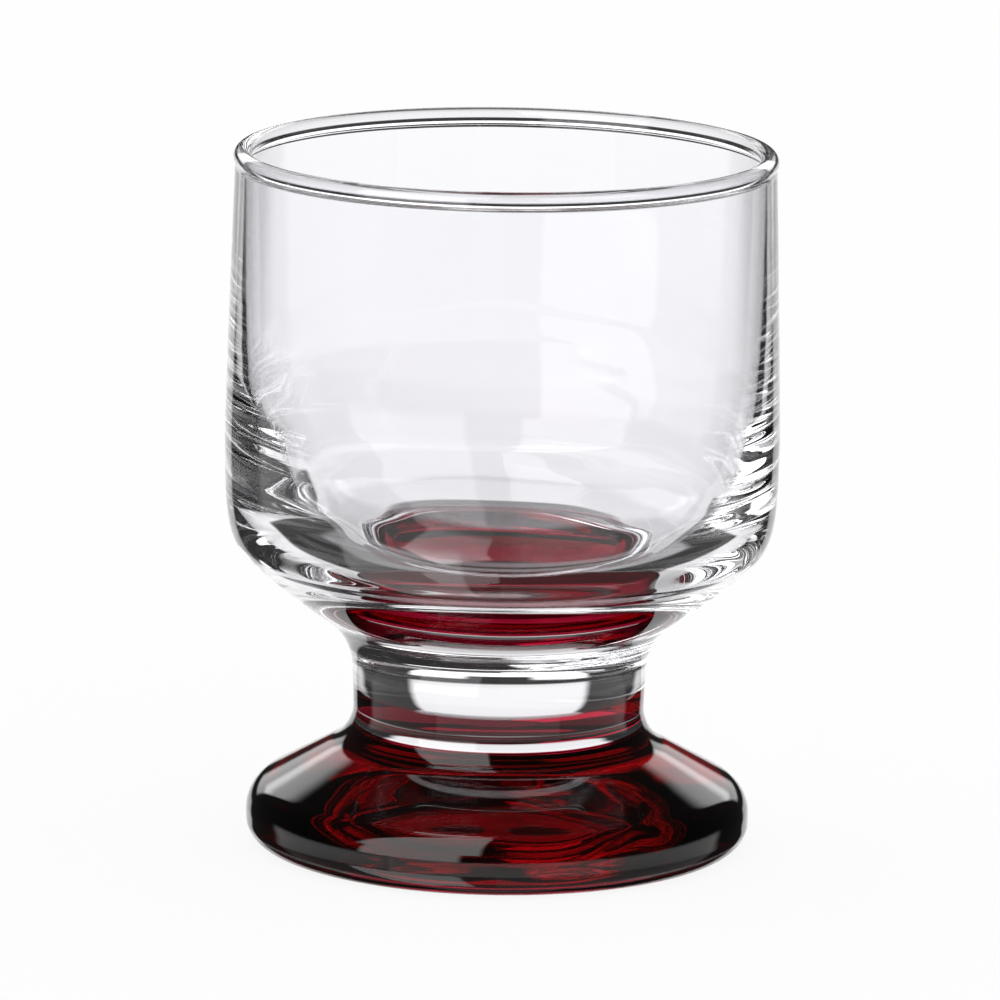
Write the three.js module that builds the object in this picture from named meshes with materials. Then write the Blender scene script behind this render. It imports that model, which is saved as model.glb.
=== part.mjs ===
// A short-stemmed wine tasting glass, in millimetres, standing on the origin with +Z up along its axis.
// Three pieces of clear glass are fused while hot: a blown bowl with a fire-polished rim, a solid pressed
// stem and a pressed foot. The underside of the foot carries a sprayed film of clear red lacquer.
// Every piece is a body turned about the axis, so each one is drawn as a half outline of (radius, height).

import * as THREE from 'three';

// Foot
const footRadius = 30.35;
const footHeelRadius = 2.9;
const footCornerHeight = 6.35;
const footShoulderRadius = 4.2;
const footSlope = degrees(29.3);
const footCoveRadius = 5.6;
const recessRadius = 25.5;
const recessDepth = 2.8;

// Lacquer film under the foot
const lacquerThickness = 0.1;
const lacquerEdgeHeight = 1.5;

// Stem
const stemWaistRadius = 17.5;
const stemHeadRadius = 17.65;
const stemLength = 4.2;
const flareRadius = 8.2;
const flareOnStem = 2.5;

// Bowl, outside
const undersideSlope = degrees(35);
const undersideRun = 7.1;
const undersideRise = 8.1;
const bowlShoulderRadius = 31.1;
const shoulderReach = 2.8;
const bellyRadius = 33.25;
const bellyRise = 13.55;
const bellyReach = 7.0;
const bellyEase = 5.0;
const wallRise = 32.0;

// Rim
const rimRadius = 32.5;
const beadRadius = 1.08;
const beadRise = 2.1;
const neckInset = 0.2;
const beadStart = degrees(-25);
const beadEnd = degrees(220);

// Bowl, inside
const rimWall = 1.3;
const mouthDrop = 3.0;
const bellyWall = 2.65;
const cavityTurnRise = 4.6;
const cavityLean = degrees(9.1);
const cavityEase = 3.8;
const cavitySideReach = 19.25;
const cavityBottomReach = 24.0;
const baseThickness = 9.45;

// Facets
const turnSides = 48;
const shortSteps = 3;
const longSteps = 6;
const smallestStep = 1e-3;

function degrees(angle) {
  return THREE.MathUtils.degToRad(angle);
}

function at(radius, height) {
  return new THREE.Vector2(radius, height);
}

function along(start, slope, length) {
  return at(start.x + length * Math.cos(slope), start.y + length * Math.sin(slope));
}

function arc(centre, radius, from, to, steps) {
  const clockwise = to < from;
  return new THREE.EllipseCurve(centre.x, centre.y, radius, radius, from, to, clockwise).getPoints(steps);
}

// The rounding of a corner between two straight runs, as points on an arc that touches both.
function roundedCorner(before, corner, after, radius, steps) {
  const back = before.clone().sub(corner).normalize();
  const ahead = after.clone().sub(corner).normalize();
  const halfAngle = Math.acos(back.dot(ahead)) / 2;
  const inward = back.clone().add(ahead).normalize();
  const centre = corner.clone().addScaledVector(inward, radius / Math.sin(halfAngle));
  const touch = radius / Math.tan(halfAngle);
  const from = corner.clone().addScaledVector(back, touch).sub(centre).angle();
  const sweep = Math.PI - 2 * halfAngle;
  const turnsLeft = back.cross(ahead) < 0;
  return arc(centre, radius, from, turnsLeft ? from + sweep : from - sweep, steps);
}

// Runs of points as one outline, without a point that repeats the one before it.
function outline(...runs) {
  const points = [];
  for (const point of runs.flat()) {
    const last = points.at(-1);
    if (!last || last.distanceTo(point) > smallestStep) points.push(point);
  }
  return points;
}

// Heights and centres that neighbouring pieces share, from the table upwards
const glassBase = lacquerThickness;
const heelCentre = at(footRadius - footHeelRadius, glassBase + footHeelRadius);
const lacquerEdge = Math.asin((lacquerEdgeHeight - heelCentre.y) / footHeelRadius);
const footCorner = at(footRadius, footCornerHeight);
const slopeRise = (footRadius - stemWaistRadius) * Math.tan(footSlope);
const coveCorner = at(stemWaistRadius, footCornerHeight + slopeRise);
const footTop = coveCorner.y + footCoveRadius * Math.tan((Math.PI / 2 - footSlope) / 2);
const flareStart = footTop + stemLength;
const flareCentre = at(stemHeadRadius + flareRadius, flareStart);
const jointAngle = Math.PI - Math.asin(flareOnStem / flareRadius);
const jointHeight = flareStart + flareOnStem;
const flareEnd = along(flareCentre, Math.PI / 2 + undersideSlope, flareRadius);
const undersideBend = along(flareEnd, undersideSlope, undersideRun);
const shoulder = at(bowlShoulderRadius, flareEnd.y + undersideRise);
const belly = at(bellyRadius, shoulder.y + bellyRise);
const neck = at(rimRadius - neckInset, belly.y + wallRise);
const beadCentre = at(rimRadius - beadRadius, neck.y + beadRise);

// The hollow underside, its standing ring and the heel up to the lacquer's edge, grown by a film's thickness.
function underside(film) {
  const domeRadius = (recessRadius ** 2 + recessDepth ** 2) / (2 * recessDepth);
  const domeCentre = at(0, glassBase + recessDepth - domeRadius);
  const ringAngle = Math.asin((glassBase - film - domeCentre.y) / (domeRadius - film));
  const dome = arc(domeCentre, domeRadius - film, Math.PI / 2, ringAngle, longSteps);
  const heel = arc(heelCentre, footHeelRadius + film, -Math.PI / 2, lacquerEdge, shortSteps);
  return outline(dome, heel);
}

function lacquerOutline() {
  return outline(underside(lacquerThickness), underside(0).reverse());
}

function footOutline() {
  const heel = arc(heelCentre, footHeelRadius, lacquerEdge, 0, shortSteps);
  const top = at(stemWaistRadius, footTop);
  const side = at(footRadius, heelCentre.y);
  const rim = roundedCorner(side, footCorner, coveCorner, footShoulderRadius, longSteps);
  const cove = roundedCorner(footCorner, coveCorner, top, footCoveRadius, longSteps);
  return outline(underside(0), heel, rim, cove, [top, at(0, footTop)]);
}

function stemOutline() {
  const waist = [at(0, footTop), at(stemWaistRadius, footTop)];
  const flare = arc(flareCentre, flareRadius, Math.PI, jointAngle, shortSteps);
  return outline(waist, flare, [at(0, jointHeight)]);
}

function bowlOutside() {
  const flare = arc(flareCentre, flareRadius, jointAngle, Math.PI / 2 + undersideSlope, longSteps);
  const underneath = new THREE.QuadraticBezierCurve(flareEnd, undersideBend, shoulder);
  const turn = shoulder.clone().sub(undersideBend).setLength(shoulderReach).add(shoulder);
  const round = new THREE.CubicBezierCurve(shoulder, turn, at(bellyRadius, belly.y - bellyReach), belly);
  const wall = new THREE.QuadraticBezierCurve(belly, at(bellyRadius, belly.y + bellyEase), neck);
  const curves = [underneath.getPoints(shortSteps), round.getPoints(longSteps), wall.getPoints(longSteps)];
  return outline(flare, ...curves);
}

function bowlInside() {
  const mouth = at(rimRadius - rimWall, beadCentre.y - mouthDrop);
  const turn = at(bellyRadius - bellyWall, belly.y + cavityTurnRise);
  const ease = along(turn, Math.PI / 2 - cavityLean, cavityEase);
  const side = along(turn, -Math.PI / 2 - cavityLean, cavitySideReach);
  const bottom = at(0, jointHeight + baseThickness);
  const wall = new THREE.QuadraticBezierCurve(mouth, ease, turn);
  const round = new THREE.CubicBezierCurve(turn, side, at(cavityBottomReach, bottom.y), bottom);
  return outline(wall.getPoints(longSteps), round.getPoints(2 * longSteps));
}

function bowlOutline() {
  const bead = arc(beadCentre, beadRadius, beadStart, beadEnd, 2 * longSteps);
  return outline([at(0, jointHeight)], bowlOutside(), bead, bowlInside());
}

function turned(name, points, color, roughness) {
  const geometry = new THREE.LatheGeometry(points, turnSides).rotateX(Math.PI / 2);
  const piece = new THREE.Mesh(geometry, new THREE.MeshStandardMaterial({ color, roughness, metalness: 0 }));
  piece.name = name;
  return piece;
}

const clearGlass = 0xf1f3f6;
const redLacquer = 0x8c0a1c;
const polished = 0.03;
const sprayed = 0.12;

const glass = new THREE.Group();
glass.add(turned('bowl', bowlOutline(), clearGlass, polished));
glass.add(turned('stem', stemOutline(), clearGlass, polished));
glass.add(turned('foot', footOutline(), clearGlass, polished));
glass.add(turned('foot_lacquer', lacquerOutline(), redLacquer, sprayed));

export default glass;
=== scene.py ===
# %% [markdown]
# # A short-stemmed wine tasting glass with a red foot
# The real glass is three gathers of clear glass that were fused while hot: a blown bowl, a pressed stem
# and a pressed foot. Its red comes from a film of clear lacquer sprayed on the underside of the foot.
# Everything else that looks red, black or white on it is something seen through the glass. So this scene
# models the glass as true, closed, refracting bodies and spends its effort on their curves and on what
# stands around them.

# %% Load the measured frame
import math

import bmesh
import bpy
from mathutils import Euler, Matrix, Vector, noise


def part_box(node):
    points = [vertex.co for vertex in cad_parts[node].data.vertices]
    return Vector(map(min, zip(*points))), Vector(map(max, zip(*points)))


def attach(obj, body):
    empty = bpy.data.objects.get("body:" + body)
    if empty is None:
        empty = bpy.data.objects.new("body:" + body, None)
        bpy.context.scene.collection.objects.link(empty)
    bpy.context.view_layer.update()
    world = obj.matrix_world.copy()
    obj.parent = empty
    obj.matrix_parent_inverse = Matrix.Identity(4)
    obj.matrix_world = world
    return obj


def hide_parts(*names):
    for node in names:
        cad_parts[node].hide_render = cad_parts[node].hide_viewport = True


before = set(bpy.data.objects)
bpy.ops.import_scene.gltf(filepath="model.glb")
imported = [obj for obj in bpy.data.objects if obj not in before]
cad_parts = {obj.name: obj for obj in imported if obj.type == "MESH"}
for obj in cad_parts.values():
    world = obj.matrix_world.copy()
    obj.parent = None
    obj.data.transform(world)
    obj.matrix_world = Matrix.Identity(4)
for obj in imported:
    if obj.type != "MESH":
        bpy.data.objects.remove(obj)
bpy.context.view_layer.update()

MM = 0.001
scene = bpy.context.scene
scene.view_settings.view_transform = "Standard"

# %% [markdown]
# ## The camera
# A long lens far away draws the rim and the foot as slim, nearly parallel ellipses. Their shapes gave the
# height of the camera and its pitch, and the glass leans a little in the picture, which is the camera's
# roll. The camera is set before anything else, because a glass body looks different from every side.

# %% Place the camera
camera_place = Vector((-0.18, -1007.2, 248.7)) * MM
camera_pitch = math.radians(11.605)
camera_roll = math.radians(0.83)
sensor_width = 36.0
pixels_across = 1000
focal_pixels = 8566

camera_data = bpy.data.cameras.new("camera")
camera_data.sensor_width = sensor_width
camera_data.lens = focal_pixels / pixels_across * sensor_width
camera_data.clip_start = 0.01
camera = bpy.data.objects.new("camera", camera_data)
looking_down = Euler((math.pi / 2 - camera_pitch, 0.0, 0.0)).to_matrix()
turned_camera = looking_down @ Matrix.Rotation(camera_roll, 3, "Z")
camera.matrix_world = Matrix.Translation(camera_place) @ turned_camera.to_4x4()
scene.collection.objects.link(camera)
scene.camera = camera
print("lens in mm:", round(camera_data.lens, 1))

# %% [markdown]
# ## Drawing half outlines
# Every piece is a body turned about the upright axis, so each is drawn as a half outline of (radius,
# height) points in millimetres. Two kinds of line are enough: arcs, and smooth curves given by a few
# control points. They could be Blender curve objects with a Screw modifier, but plain points let each
# ring be shifted later, which a hand-made look needs.

# %% Arcs and smooth curves
def arc(centre, radius, start, end, steps):
    angles = [start + (end - start) * step / steps for step in range(steps + 1)]
    return [(centre[0] + radius * math.cos(a), centre[1] + radius * math.sin(a)) for a in angles]


def smooth_curve(control_points, steps):
    points = []
    for step in range(steps + 1):
        left = [Vector(point) for point in control_points]
        while len(left) > 1:
            left = [a.lerp(b, step / steps) for a, b in zip(left, left[1:])]
        points.append(tuple(left[0]))
    return points


quarter_circle = arc((0.0, 0.0), 1.0, 0.0, math.pi / 2, 8)
print("a quarter circle of 8 steps has", len(quarter_circle), "points")

# %% Rounded corners and whole outlines
SMALLEST_STEP = 0.004


def rounded_corner(before, corner, after, radius, steps):
    back = (Vector(before) - Vector(corner)).normalized()
    ahead = (Vector(after) - Vector(corner)).normalized()
    half_angle = back.angle(ahead) / 2
    centre = Vector(corner) + (back + ahead).normalized() * radius / math.sin(half_angle)
    first = Vector(corner) + back * radius / math.tan(half_angle) - centre
    start = math.atan2(first.y, first.x)
    sweep = math.pi - 2 * half_angle
    turns_left = back.x * ahead.y - back.y * ahead.x < 0
    return arc(centre, radius, start, start + sweep if turns_left else start - sweep, steps)


def from_point(start, slope, length):
    return (start[0] + length * math.cos(slope), start[1] + length * math.sin(slope))


def outline(*runs):
    points = []
    for point in (point for run in runs for point in run):
        if not points or math.dist(points[-1], point) > SMALLEST_STEP:
            points.append(point)
    return points


eased_corner = rounded_corner((2.0, 0.0), (0.0, 0.0), (0.0, 2.0), 1.0, 8)
print("a corner rounded in 8 steps has", len(outline(eased_corner)), "points")

# %% [markdown]
# ## Sizes that the frame gives
# The frame is the measured model, so the outer sizes and the heights where the pieces meet are read from
# it. What a box can't tell, such as the roundings, the walls and the reach of the curves, is stated where
# it is drawn.

# %% Read radii and joint heights from the frame
def reach(node):
    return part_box(node)[1][0] / MM


def top(node):
    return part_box(node)[1][2] / MM


foot_radius = reach("foot")
belly_radius = reach("bowl")
weld_height = top("foot")
joint_height = top("stem")
rim_height = top("bowl")
print("foot and belly radius:", round(foot_radius, 2), round(belly_radius, 2))
print("weld, joint and rim height:", round(weld_height, 2), round(joint_height, 2), round(rim_height, 2))

# %% [markdown]
# ## The foot
# The foot is pressed in a mould: a shallow hollow underneath, so that it stands on a ring, a rounded
# heel, an upright edge, a straight slope and a hollow curve that runs up into the stem. The lacquer lies
# in the last tenth of a millimetre of the underside and ends low on the heel.

# %% Outline of the underside of the foot
heel_radius = 2.9
recess_radius = 25.5
recess_depth = 2.8
lacquer_edge_height = 1.5
dome_steps = 60
heel_steps = 12

heel_centre = (foot_radius - heel_radius, heel_radius)
lacquer_edge = math.asin((lacquer_edge_height - heel_radius) / heel_radius)


def foot_underside(depth):
    dome_radius = (recess_radius ** 2 + recess_depth ** 2) / (2 * recess_depth)
    dome_centre = (0.0, recess_depth - dome_radius)
    ring_angle = math.asin((depth - dome_centre[1]) / (dome_radius + depth))
    dome = arc(dome_centre, dome_radius + depth, math.pi / 2, ring_angle, dome_steps)
    heel = arc(heel_centre, heel_radius - depth, -math.pi / 2, lacquer_edge, heel_steps)
    return outline([(0.0, recess_depth + depth)], dome, heel)


print("points on the underside of the foot:", len(foot_underside(0.0)))

# %% Outline of the side of the foot
foot_corner_height = 6.35
foot_shoulder_radius = 4.2
foot_slope = math.radians(29.3)
cove_radius = 5.6
waist_radius = 17.5
edge_steps = 24
slope_steps = 16
cove_steps = 60

foot_corner = (foot_radius, foot_corner_height)
cove_corner = (waist_radius, foot_corner_height + (foot_radius - waist_radius) * math.tan(foot_slope))


def foot_side():
    heel = arc(heel_centre, heel_radius, lacquer_edge, 0.0, heel_steps)
    edge = (foot_radius, heel_radius)
    foot_top = (waist_radius, weld_height)
    round_edge = rounded_corner(edge, foot_corner, cove_corner, foot_shoulder_radius, edge_steps)
    cove = rounded_corner(foot_corner, cove_corner, foot_top, cove_radius, cove_steps)
    slope = smooth_curve([round_edge[-1], cove[0]], slope_steps)
    return outline(heel, [edge], round_edge, slope, cove)


print("points on the side of the foot:", len(foot_side()))

# %% [markdown]
# ## The stem
# The stem is short, thick and solid. It widens a little towards its head and starts the flare that
# carries on into the bowl. The ring where the two gathers were joined lies low in that flare.

# %% Outline of the stem
head_radius = 17.65
flare_radius = 8.2
flare_on_stem = 2.5
waist_steps = 14
stem_flare_steps = 18

flare_start = joint_height - flare_on_stem
flare_centre = (head_radius + flare_radius, flare_start)
joint_angle = math.pi - math.asin(flare_on_stem / flare_radius)


def stem_side():
    waist = smooth_curve([(waist_radius, weld_height), (head_radius, flare_start)], waist_steps)
    flare = arc(flare_centre, flare_radius, math.pi, joint_angle, stem_flare_steps)
    return outline(waist, flare)


print("stem outline points:", len(stem_side()))

# %% [markdown]
# ## The bowl
# Outside, the bowl opens from the flare in a cone, turns at a soft shoulder into a belly and draws in
# slightly to the rim, which a flame has melted into a bead. Inside it is a different curve: a thin wall
# that thickens downwards into a round, heavy bottom. What shows through the lower wall depends on the
# difference of the two curves, so both are drawn finely.

# %% Outside of the bowl
underside_slope = math.radians(35)
underside_run = 7.1
underside_rise = 8.1
bowl_shoulder_radius = 31.1
shoulder_reach = 2.8
belly_rise = 13.55
belly_reach = 7.0
belly_ease = 5.0
rim_radius = 32.5
bead_radius = 1.08
neck_inset = 0.2
rim_wall = 1.3
bowl_flare_steps = 37
underneath_steps = 36
belly_steps = 44
wall_steps = 128
bead_steps = 48

flare_end = from_point(flare_centre, math.pi / 2 + underside_slope, flare_radius)
underside_bend = from_point(flare_end, underside_slope, underside_run)
shoulder = (bowl_shoulder_radius, flare_end[1] + underside_rise)
belly = (belly_radius, shoulder[1] + belly_rise)
bead_centre = (rim_radius - bead_radius, rim_height - bead_radius)
bead_start = -math.acos((bead_radius - neck_inset) / bead_radius)
bead_end = -math.acos((bead_radius - rim_wall) / bead_radius)
neck = from_point(bead_centre, bead_start, bead_radius)
mouth = from_point(bead_centre, bead_end, bead_radius)


def bowl_outside():
    flare_stop = math.pi / 2 + underside_slope
    flare = arc(flare_centre, flare_radius, joint_angle, flare_stop, bowl_flare_steps)
    underneath = smooth_curve([flare_end, underside_bend, shoulder], underneath_steps)
    leaving = (Vector(shoulder) - Vector(underside_bend)).normalized() * shoulder_reach
    turn = (shoulder[0] + leaving.x, shoulder[1] + leaving.y)
    below_belly = (belly_radius, belly[1] - belly_reach)
    above_belly = (belly_radius, belly[1] + belly_ease)
    round_side = smooth_curve([shoulder, turn, below_belly, belly], belly_steps)
    wall = smooth_curve([belly, above_belly, neck], wall_steps)
    bead = arc(bead_centre, bead_radius, bead_start, bead_end + 2 * math.pi, bead_steps)
    return outline(flare, underneath, round_side, wall, bead)


print("points on the outside of the bowl:", len(bowl_outside()))

# %% Inside of the bowl
belly_wall = 2.65
cavity_turn_rise = 4.6
cavity_lean = math.radians(9.1)
cavity_ease = 3.8
cavity_side_reach = 19.25
cavity_bottom_reach = 24.0
base_thickness = 9.45
inner_wall_steps = 120
bottom_steps = 100


def bowl_inside():
    turn = (belly_radius - belly_wall, belly[1] + cavity_turn_rise)
    ease = from_point(turn, math.pi / 2 - cavity_lean, cavity_ease)
    side = from_point(turn, -math.pi / 2 - cavity_lean, cavity_side_reach)
    bottom = (0.0, joint_height + base_thickness)
    level = (cavity_bottom_reach, bottom[1])
    wall = smooth_curve([mouth, ease, turn], inner_wall_steps)
    round_bottom = smooth_curve([turn, side, level, bottom], bottom_steps)
    return outline(wall, round_bottom)


print("points on the inside of the bowl:", len(bowl_inside()))

# %% [markdown]
# ## How hot glass differs from a drawing
# A turned solid is too perfect. In the real glass the inside hangs a little to one side, its bottom sags
# in the middle, the thick lower wall carries faint level ripples from the cooling, and the pressed
# underside of the foot is wavy. Each is a shift of less than a millimetre, yet together they make the
# streaks that show. Smooth noise moves the points of the rings, and because that noise holds no random
# state, every run gives the same glass.

# %% Fading, waves and a push outwards
def fade(value, full_at, none_at):
    share = min(1.0, max(0.0, (none_at - value) / (none_at - full_at)))
    return share * share * (3 - 2 * share)


def waves(point, along, up, layer):
    return noise.noise(Vector((point.x / along, point.y / along, point.z / up + layer)))


def pushed_out(point, distance):
    radial = Vector((point.x, point.y, 0.0))
    return point + radial * distance / max(radial.length, 1.0)


print("halfway, a fade leaves", fade(0.5, 0.0, 1.0))

# %% How the inside of the bowl leans, sags and ripples
lean_to_side = 0.7
lean_full_below = 40.0
lean_none_above = 58.0
bottom_sag = 0.8
bottom_sag_radius = 19.0
wall_ripple = 0.05
wall_ripple_along = 17.0
wall_ripple_up = 2.3
# Each surface cuts the smooth noise in a layer of its own, far from the others, so that no two ripple alike.
inside_layer = 11.0


def cooled_inside(point):
    near_bottom = fade(point.z, lean_full_below, lean_none_above)
    ripple = wall_ripple * near_bottom * waves(point, wall_ripple_along, wall_ripple_up, inside_layer)
    sag = bottom_sag * fade(math.hypot(point.x, point.y), 0.0, bottom_sag_radius)
    return pushed_out(point, ripple) + Vector((lean_to_side * near_bottom, 0.0, -sag))


bottom_radius, bottom_height = bowl_inside()[-1]
sagged_middle = cooled_inside(Vector((bottom_radius, 0.0, bottom_height)))
print("the middle of the bottom comes to", [round(value, 2) for value in sagged_middle])

# %% How the outside ripples
outside_ripple = 0.025
outside_ripple_along = 20.0
outside_ripple_up = 2.2
outside_layer = 29.0


def cooled_outside(point):
    above_heel = 1.0 - fade(point.z, heel_radius, foot_corner_height)
    below_belly = fade(point.z, belly[1], neck[1])
    ripple = outside_ripple * waves(point, outside_ripple_along, outside_ripple_up, outside_layer)
    return pushed_out(point, ripple * above_heel * below_belly)


print("the outside ripples by up to", outside_ripple, "mm")

# %% How the underside of the foot waves
underside_wave = 0.26
underside_wave_along = 9.0
underside_fine_share = 0.15
underside_full_within = 0.75 * recess_radius
underside_none_beyond = 0.98 * recess_radius
underside_layer = 3.3
underside_fine_layer = 7.7


def pressed_underside(point):
    inside_ring = fade(math.hypot(point.x, point.y), underside_full_within, underside_none_beyond)
    flat = Vector((point.x, point.y, 0.0))
    broad = waves(flat, underside_wave_along, 1.0, underside_layer)
    fine = waves(flat, underside_wave_along / 2, 1.0, underside_fine_layer)
    lift = underside_wave * inside_ring * (broad + underside_fine_share * fine)
    return point + Vector((0.0, 0.0, lift))


print("the underside waves by up to", round(underside_wave * (1 + underside_fine_share), 2), "mm")

# %% [markdown]
# ## Turning an outline into a closed body
# A ring of points is made for every point of the outline, and neighbouring rings are joined by faces. A
# Screw modifier would do that too, but here each stretch of the outline also says which shift and which
# finish it takes. Where two gathers are fused the glass goes on without a break, so light must not bend
# there: those faces get a finish of their own, and the edge round them is sharp, so that they don't bend
# the shading of the outer skin.

# %% Rings of points and the faces between them
TURN_SIDES = 192


def ring_of_points(radius, height, shift):
    if radius < SMALLEST_STEP:
        return [shift(Vector((0.0, 0.0, height)))]
    angles = [2 * math.pi * side / TURN_SIDES for side in range(TURN_SIDES)]
    return [shift(Vector((radius * math.cos(a), radius * math.sin(a), height))) for a in angles]


def faces_between(low, high):
    faces = []
    for side in range(TURN_SIDES):
        after = (side + 1) % TURN_SIDES
        low_pair = [low[side % len(low)], low[after % len(low)]]
        high_pair = [high[after % len(high)], high[side % len(high)]]
        faces.append(list(dict.fromkeys(low_pair + high_pair)))
    return faces


print("each ring has", TURN_SIDES, "points")

# %% A closed mesh from stretches of outline
def turned_mesh(name, stretches):
    points, faces, finishes = [], [], []
    last_ring = None
    for profile, shift, finish in stretches:
        for radius, height in profile[0 if last_ring is None else 1:]:
            ring_points = ring_of_points(radius, height, shift)
            ring = range(len(points), len(points) + len(ring_points))
            points += [point * MM for point in ring_points]
            if last_ring is not None:
                new_faces = faces_between(last_ring, ring)
                faces += new_faces
                finishes += [finish] * len(new_faces)
            last_ring = ring
    mesh = bpy.data.meshes.new(name)
    mesh.from_pydata(points, [], faces)
    mesh.polygons.foreach_set("material_index", finishes)
    mesh.shade_smooth()
    print(name, "has", len(points), "points and", len(faces), "faces")
    return mesh


# %% A piece with its finishes
def sharpen_between_finishes(mesh):
    shell = bmesh.new()
    shell.from_mesh(mesh)
    for edge in shell.edges:
        edge.smooth = len({face.material_index for face in edge.link_faces}) == 1
    shell.to_mesh(mesh)
    shell.free()


def turned_piece(name, stretches, materials):
    mesh = turned_mesh(name, stretches)
    for material in materials:
        mesh.materials.append(material)
    sharpen_between_finishes(mesh)
    piece = bpy.data.objects.new(name, mesh)
    scene.collection.objects.link(piece)
    return piece


# %% [markdown]
# ## Helpers for shader nodes
# A material is a tree of nodes. Blender's own calls for placing, setting and joining them are long, so a
# few helpers do it: one places a node, one fills its sockets by name, with a value or a link, and two make
# the sums and the soft steps that the finishes and the studio are put together from.

# %% Place nodes and fill their sockets
def add_node(tree, kind, **settings):
    node = tree.nodes.new(kind)
    for setting, value in settings.items():
        setattr(node, setting, value)
    return node


def fill_socket(tree, socket, value):
    if isinstance(value, bpy.types.NodeSocket):
        tree.links.new(value, socket)
    else:
        socket.default_value = value


def fill_inputs(tree, node, **values):
    for socket_name, value in values.items():
        fill_socket(tree, node.inputs[socket_name.replace("_", " ")], value)
    return node


# %% Sums and soft steps
def math_node(tree, operation, first, second):
    node = add_node(tree, "ShaderNodeMath", operation=operation)
    fill_socket(tree, node.inputs[0], first)
    fill_socket(tree, node.inputs[1], second)
    return node.outputs[0]


def map_range(tree, value, low, high, low_gives=0.0, high_gives=1.0):
    node = add_node(tree, "ShaderNodeMapRange", interpolation_type="SMOOTHSTEP")
    limits = {"From_Min": low, "From_Max": high, "To_Min": low_gives, "To_Max": high_gives}
    fill_inputs(tree, node, Value=value, **limits)
    return node.outputs["Result"]


# %% [markdown]
# ## What use leaves on a polished surface
# Glass that is handled and wiped is never evenly clean: it keeps faint smears and a few specks of dust,
# which are a little rougher than the rest, and its skin is not quite level. Both the clear glass and the
# lacquer show that, so the effect is one shader node group that gives a roughness and a height, placed in
# each material with its own values.

# %% Sockets of the group for a handled surface
handled = bpy.data.node_groups.new("handled_surface", "ShaderNodeTree")
for socket_name in ("Smear Scale", "Smear Roughness", "Speck Scale", "Speck Roughness", "Skin Scale"):
    handled.interface.new_socket(socket_name, in_out="INPUT", socket_type="NodeSocketFloat")
for socket_name in ("Roughness", "Height"):
    handled.interface.new_socket(socket_name, in_out="OUTPUT", socket_type="NodeSocketFloat")

group_in = add_node(handled, "NodeGroupInput").outputs
group_out = add_node(handled, "NodeGroupOutput").inputs
print("node group outputs:", [socket.name for socket in group_out if socket.name])

# %% Smears, specks and an unlevel skin
smear_starts, smear_full = 0.56, 0.78
speck_core, speck_edge = 0.05, 0.09
dusty_starts, dusty_full = 0.5, 0.7

place = add_node(handled, "ShaderNodeTexCoord").outputs["Object"]
smear_noise = fill_inputs(
    handled, add_node(handled, "ShaderNodeTexNoise"),
    Vector=place, Scale=group_in["Smear Scale"], Detail=3.0, Distortion=1.5,
)
smears = map_range(handled, smear_noise.outputs["Fac"], smear_starts, smear_full)
speck_cells = fill_inputs(
    handled, add_node(handled, "ShaderNodeTexVoronoi"), Vector=place, Scale=group_in["Speck Scale"]
)
speck_spots = map_range(handled, speck_cells.outputs["Distance"], speck_core, speck_edge, 1.0, 0.0)
speck_places = map_range(handled, smear_noise.outputs["Fac"], dusty_starts, dusty_full)
specks = math_node(handled, "MULTIPLY", speck_spots, speck_places)
smear_part = math_node(handled, "MULTIPLY", smears, group_in["Smear Roughness"])
speck_part = math_node(handled, "MULTIPLY", specks, group_in["Speck Roughness"])
handled.links.new(math_node(handled, "ADD", smear_part, speck_part), group_out["Roughness"])
skin_noise = fill_inputs(
    handled, add_node(handled, "ShaderNodeTexNoise"), Vector=place, Scale=group_in["Skin Scale"], Detail=1.0
)
handled.links.new(skin_noise.outputs["Fac"], group_out["Height"])
print("nodes in the group:", len(handled.nodes))

# %% [markdown]
# ## Clear glass
# Soda-lime glass bends light by 1.52 and has a breath of violet from the mineral that hides its green.
# Nothing but a true refracting shader gives the dark edges and the turned-over pictures of what stands
# behind it. The colour is set on the shader itself, and the node group gives the roughness and the skin.

# %% Clear glass material
def material_with_skin(name, skin_depth, **skin_values):
    material = bpy.data.materials.new(name)
    material.use_nodes = True
    tree = material.node_tree
    shader = tree.nodes["Principled BSDF"]
    skin = add_node(tree, "ShaderNodeGroup", node_tree=handled)
    fill_inputs(tree, skin, **skin_values)
    bump = fill_inputs(
        tree, add_node(tree, "ShaderNodeBump"),
        Height=skin.outputs["Height"], Distance=skin_depth, Strength=1.0,
    )
    fill_inputs(tree, shader, Roughness=skin.outputs["Roughness"], Normal=bump.outputs["Normal"])
    return material, tree, shader


glass_skin_depth = 0.004 * MM
glass_tint = (0.98, 0.977, 1.0, 1.0)
glass_index = 1.52

clear_glass, glass_tree, glass_shader = material_with_skin(
    "clear_glass", glass_skin_depth,
    Smear_Scale=45.0, Smear_Roughness=0.02, Speck_Scale=260.0, Speck_Roughness=0.25, Skin_Scale=160.0,
)
fill_inputs(glass_tree, glass_shader, Base_Color=glass_tint, IOR=glass_index, Transmission_Weight=1.0)
print("glass bends light by", round(glass_shader.inputs["IOR"].default_value, 2))

# %% [markdown]
# ## Fused joints
# Inside a fused joint there is no surface at all, only more glass. The pieces still have to be closed
# bodies, so the faces where they meet are there, but fully see-through.

# %% Fused joint material
fused_joint = bpy.data.materials.new("fused_joint")
fused_joint.use_nodes = True
fused_shader = fused_joint.node_tree.nodes["Principled BSDF"]
fill_inputs(fused_joint.node_tree, fused_shader, Alpha=0.0)
print("fused joint has an alpha of", fused_shader.inputs["Alpha"].default_value)

# %% [markdown]
# ## Red lacquer
# The lacquer is a see-through red that touches the glass all over, so light goes into it straight and is
# only coloured: its index against the glass is 1. A sprayer never lays it evenly, so slow noise moves its
# colour between a thin and a thick coat.

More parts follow.
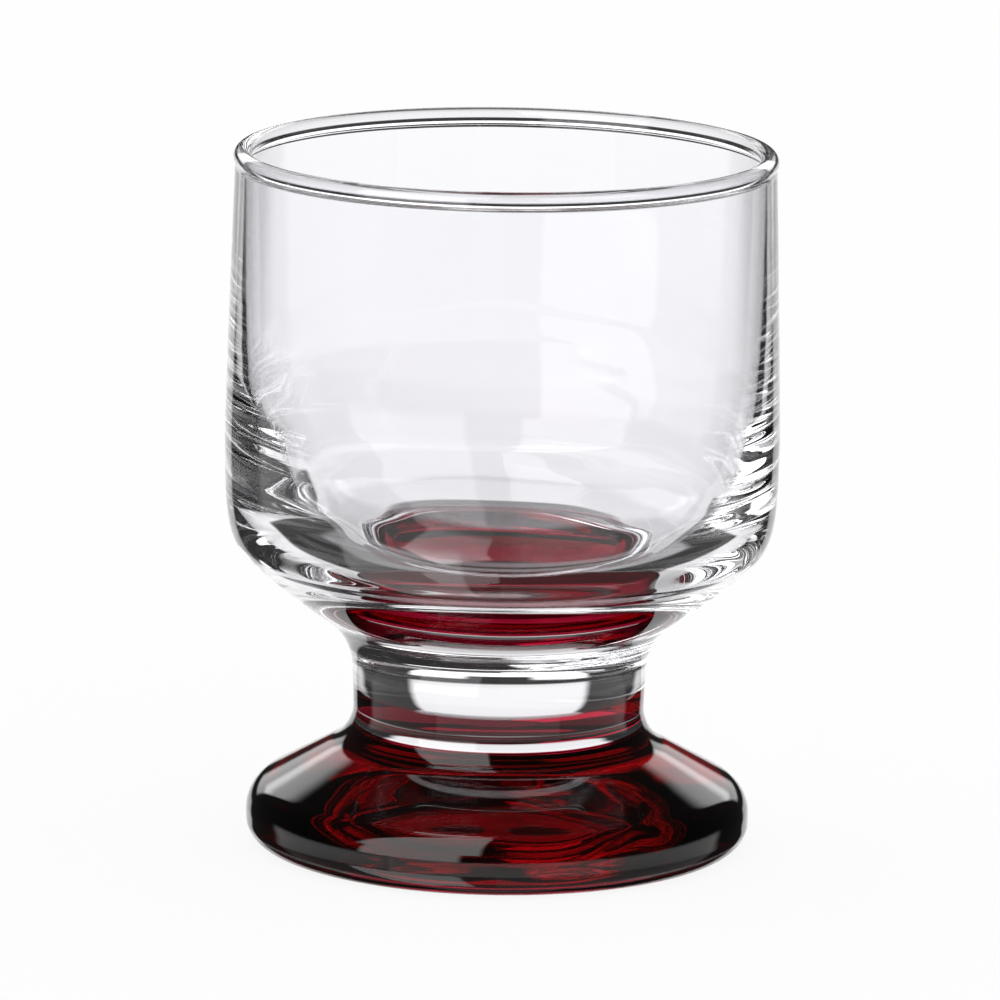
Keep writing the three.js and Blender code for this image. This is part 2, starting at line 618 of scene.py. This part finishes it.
# %% Red lacquer material
thin_coat = (0.34, 0.007, 0.028, 1.0)
thick_coat = (0.24, 0.003, 0.016, 1.0)
coat_unevenness_scale = 90.0
thin_below, thick_above = 0.35, 0.65
lacquer_skin_depth = 0.002 * MM
index_against_glass = 1.0

red_lacquer, lacquer_tree, lacquer_shader = material_with_skin(
    "red_lacquer", lacquer_skin_depth,
    Smear_Scale=60.0, Smear_Roughness=0.02, Speck_Scale=300.0, Speck_Roughness=0.2, Skin_Scale=300.0,
)
lacquer_place = add_node(lacquer_tree, "ShaderNodeTexCoord").outputs["Object"]
coat_noise = fill_inputs(
    lacquer_tree, add_node(lacquer_tree, "ShaderNodeTexNoise"),
    Vector=lacquer_place, Scale=coat_unevenness_scale, Detail=3.0, Distortion=0.6,
)
coat_mix = add_node(lacquer_tree, "ShaderNodeMix", data_type="RGBA")
# A Mix node has sockets for numbers and vectors too: these are the ones that it uses for colours.
mix_share, mix_first, mix_second = (coat_mix.inputs[index] for index in (0, 6, 7))
mixed_colour = coat_mix.outputs[2]
coat_share = map_range(lacquer_tree, coat_noise.outputs["Fac"], thin_below, thick_above)
lacquer_tree.links.new(coat_share, mix_share)
mix_first.default_value = thin_coat
mix_second.default_value = thick_coat
fill_inputs(
    lacquer_tree, lacquer_shader,
    Base_Color=mixed_colour, IOR=index_against_glass, Transmission_Weight=1.0,
)
print("lacquer passes", thin_coat[:3], "to", thick_coat[:3])

# %% [markdown]
# ## The pieces
# Now every piece is turned from its outlines. Each stands for one node of the frame and rides on the one
# body that this glass is.

# %% Turn the foot, the lacquer, the stem and the bowl
lacquer_inset = 0.02
lacquer_depth = 0.1
weld_disc = [(waist_radius, weld_height), (0.0, weld_height)]
joint_radius = stem_side()[-1][0]
joint_disc = [(joint_radius, joint_height), (0.0, joint_height)]
glass_finishes = [clear_glass, fused_joint]
POLISHED = glass_finishes.index(clear_glass)
FUSED = glass_finishes.index(fused_joint)

foot = turned_piece("glass_foot", [
    (foot_underside(0.0), pressed_underside, POLISHED),
    (foot_side(), cooled_outside, POLISHED),
    (weld_disc, cooled_outside, FUSED),
], glass_finishes)
lacquer = turned_piece("red_lacquer_film", [
    (foot_underside(lacquer_inset) + foot_underside(lacquer_depth)[::-1], pressed_underside, POLISHED),
], [red_lacquer])
stem = turned_piece("glass_stem", [
    (weld_disc[::-1], cooled_outside, FUSED),
    (stem_side(), cooled_outside, POLISHED),
    (joint_disc, cooled_outside, FUSED),
], glass_finishes)
bowl = turned_piece("glass_bowl", [
    (joint_disc[::-1], cooled_outside, FUSED),
    (bowl_outside(), cooled_outside, POLISHED),
    (bowl_inside(), cooled_inside, POLISHED),
], glass_finishes)

# %% Tie the pieces to the frame
for piece, node, slot in (
    (foot, "foot", "clear_glass"),
    (lacquer, "foot_lacquer", "red_lacquer"),
    (stem, "stem", "clear_glass"),
    (bowl, "bowl", "clear_glass"),
):
    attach(piece, "root")
    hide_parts(node)
    print(piece.name, "stands for", node)

# %% [markdown]
# ## The studio
# Glass has no look of its own: it shows what stands around it. A photographer of glass puts a white sheet
# behind it, black boards at both sides, which draw its dark edges, and a soft lamp where a highlight is
# wanted. Here each of these is a patch of the world, given by the directions that it covers. The camera
# and the floor see plain white all round, and only rays that the glass mirrors or bends see the sheet,
# the boards and the lamps.

# %% Node group for one patch of the studio
patch = bpy.data.node_groups.new("studio_patch", "ShaderNodeTree")
patch_sockets = ("Azimuth", "Elevation", "Left", "Right", "Bottom", "Top", "Softness", "Strength")
for socket_name in patch_sockets:
    patch.interface.new_socket(socket_name, in_out="INPUT", socket_type="NodeSocketFloat")
patch.interface.new_socket("Light", in_out="OUTPUT", socket_type="NodeSocketFloat")
patch_in = add_node(patch, "NodeGroupInput").outputs
patch_out = add_node(patch, "NodeGroupOutput").inputs


def past_edge(value, edge):
    low = math_node(patch, "SUBTRACT", edge, patch_in["Softness"])
    high = math_node(patch, "ADD", edge, patch_in["Softness"])
    return map_range(patch, value, low, high)


def between_edges(value, first_edge, last_edge):
    return math_node(patch, "SUBTRACT", past_edge(value, first_edge), past_edge(value, last_edge))


across = between_edges(patch_in["Azimuth"], patch_in["Left"], patch_in["Right"])
upright = between_edges(patch_in["Elevation"], patch_in["Bottom"], patch_in["Top"])
covered = math_node(patch, "MULTIPLY", across, upright)
patch.links.new(math_node(patch, "MULTIPLY", covered, patch_in["Strength"]), patch_out["Light"])
print("patch inputs:", ", ".join(patch_sockets))

# %% Patches of the studio
# Left, right, bottom and top edge in degrees, softness of the edges in degrees, and strength.
# Azimuth 0 is behind the glass, and what no patch covers is a board that is nearly black.
# Azimuth ends at 180 degrees, in front, so a patch that reaches past it has no soft edge there.
sheet_edge = 27
wing_inner_edge = 9
past_front = 190
table_edge = -75
crisp = 2.0
soft = 4.0
studio_patches = {
    "sheet": (-sheet_edge, sheet_edge, -20, -3, crisp, 0.97),
    "sheet_low": (-sheet_edge, sheet_edge, -33, -20, crisp, 0.92),
    "sheet_end": (-sheet_edge, sheet_edge, -45, -33, crisp, 0.75),
    "table_behind": (-sheet_edge, sheet_edge, table_edge, -45, crisp, 0.1),
    "left_wing": (-sheet_edge, -wing_inner_edge, 6, 20, crisp, 1.25),
    "right_wing": (wing_inner_edge, sheet_edge, 6, 20, crisp, 1.25),
    "upper_panel": (-sheet_edge, sheet_edge, 15, 34, crisp, 1.6),
    "lit_table": (-163, -108, -70, -20, crisp, 1.8),
    "low_lamp": (-163, -115, 2, 24, crisp, 2.4),
    "high_lamp": (-172, -110, 24, 86, crisp, 2.4),
    "left_side": (-130, -60, -16, 0, soft, 0.85),
    "right_side": (60, 130, -16, 0, soft, 0.85),
    "left_front": (-past_front, -130, -18, 2, crisp, 0.8),
    "right_front": (130, past_front, -18, 2, crisp, 0.75),
    "left_table": (-past_front, -62, table_edge, -16, soft, 0.2),
    "right_table": (62, past_front, table_edge, -16, soft, 0.35),
    "table": (-past_front, past_front, -100, table_edge, crisp, 0.3),
}
print("studio patches:", len(studio_patches))

# %% Measure the direction of a ray
DEGREES_PER_RADIAN = math.degrees(1.0)

world = bpy.data.worlds.new("studio")
scene.world = world
world.use_nodes = True
sky = world.node_tree
direction = add_node(sky, "ShaderNodeSeparateXYZ")
sky.links.new(add_node(sky, "ShaderNodeTexCoord").outputs["Generated"], direction.inputs[0])
azimuth = math_node(sky, "ARCTAN2", direction.outputs["X"], direction.outputs["Y"])
azimuth_degrees = math_node(sky, "MULTIPLY", azimuth, DEGREES_PER_RADIAN)
elevation = math_node(sky, "ARCSINE", direction.outputs["Z"], 0.0)
elevation_degrees = math_node(sky, "MULTIPLY", elevation, DEGREES_PER_RADIAN)
print("one radian is", round(DEGREES_PER_RADIAN, 2), "degrees")

# %% Add up the patches and show them to the glass alone
dim_room = 0.03

studio_light = dim_room
for patch_name, edges in studio_patches.items():
    patch_node = add_node(sky, "ShaderNodeGroup", node_tree=patch, name=patch_name)
    fill_inputs(sky, patch_node, Azimuth=azimuth_degrees, Elevation=elevation_degrees)
    fill_inputs(sky, patch_node, **dict(zip(patch_sockets[2:], edges)))
    studio_light = math_node(sky, "ADD", patch_node.outputs["Light"], studio_light)
light_path = add_node(sky, "ShaderNodeLightPath").outputs
through_glass = math_node(sky, "MAXIMUM", light_path["Is Glossy Ray"], light_path["Is Transmission Ray"])
plain_white = math_node(sky, "SUBTRACT", 1.0, through_glass)
shown_light = math_node(sky, "MULTIPLY", through_glass, studio_light)
seen_light = math_node(sky, "ADD", plain_white, shown_light)
fill_inputs(sky, sky.nodes["Background"], Color=(1.0, 1.0, 1.0, 1.0), Strength=seen_light)
print("nodes in the world:", len(sky.nodes))

# %% [markdown]
# ## The floor
# The floor is a plain white table. Most of its white is its own, so that it stays as white as the sheet,
# and the rest is light that falls on it, so that the foot keeps a soft shadow. The glass itself sees the
# sheet instead of the floor, as it does over a lit table of milky glass.

# %% Make the floor
floor_half_width = 3.0

floor_mesh = bpy.data.meshes.new("floor")
corner_signs = ((-1, -1), (1, -1), (1, 1), (-1, 1))
floor_corners = [(x * floor_half_width, y * floor_half_width, 0.0) for x, y in corner_signs]
floor_mesh.from_pydata(floor_corners, [], [(0, 1, 2, 3)])
floor = bpy.data.objects.new("floor", floor_mesh)
scene.collection.objects.link(floor)
floor.visible_glossy = False
floor.visible_transmission = False
print("floor is", 2 * floor_half_width, "m wide")

# %% Paint the floor
floor_own_white = 0.9
floor_colour = (0.92, 0.92, 0.92, 1.0)

floor_paint = bpy.data.materials.new("floor_paint")
floor_paint.use_nodes = True
floor_tree = floor_paint.node_tree
floor_shader = floor_tree.nodes["Principled BSDF"]
fill_inputs(floor_tree, floor_shader, Base_Color=floor_colour, Roughness=1.0, Specular_IOR_Level=0.0)
own_white = add_node(floor_tree, "ShaderNodeEmission")
floor_mix = add_node(floor_tree, "ShaderNodeMixShader")
floor_mix.inputs["Fac"].default_value = floor_own_white
floor_tree.links.new(floor_shader.outputs["BSDF"], floor_mix.inputs[1])
floor_tree.links.new(own_white.outputs["Emission"], floor_mix.inputs[2])
floor_tree.links.new(floor_mix.outputs["Shader"], floor_tree.nodes["Material Output"].inputs["Surface"])
floor_mesh.materials.append(floor_paint)
print("floor's own share of its white:", floor_own_white)

# %% [markdown]
# ## Long light paths
# A ray in this glass is bent and mirrored many times before it leaves, and each fused joint counts as a
# crossing too. With Blender's usual limits the thick parts would go black.

# %% Let light bounce often enough
scene.cycles.max_bounces = 48
scene.cycles.transmission_bounces = 48
scene.cycles.glossy_bounces = 24
scene.cycles.transparent_max_bounces = 96
print("bounces:", scene.cycles.max_bounces)
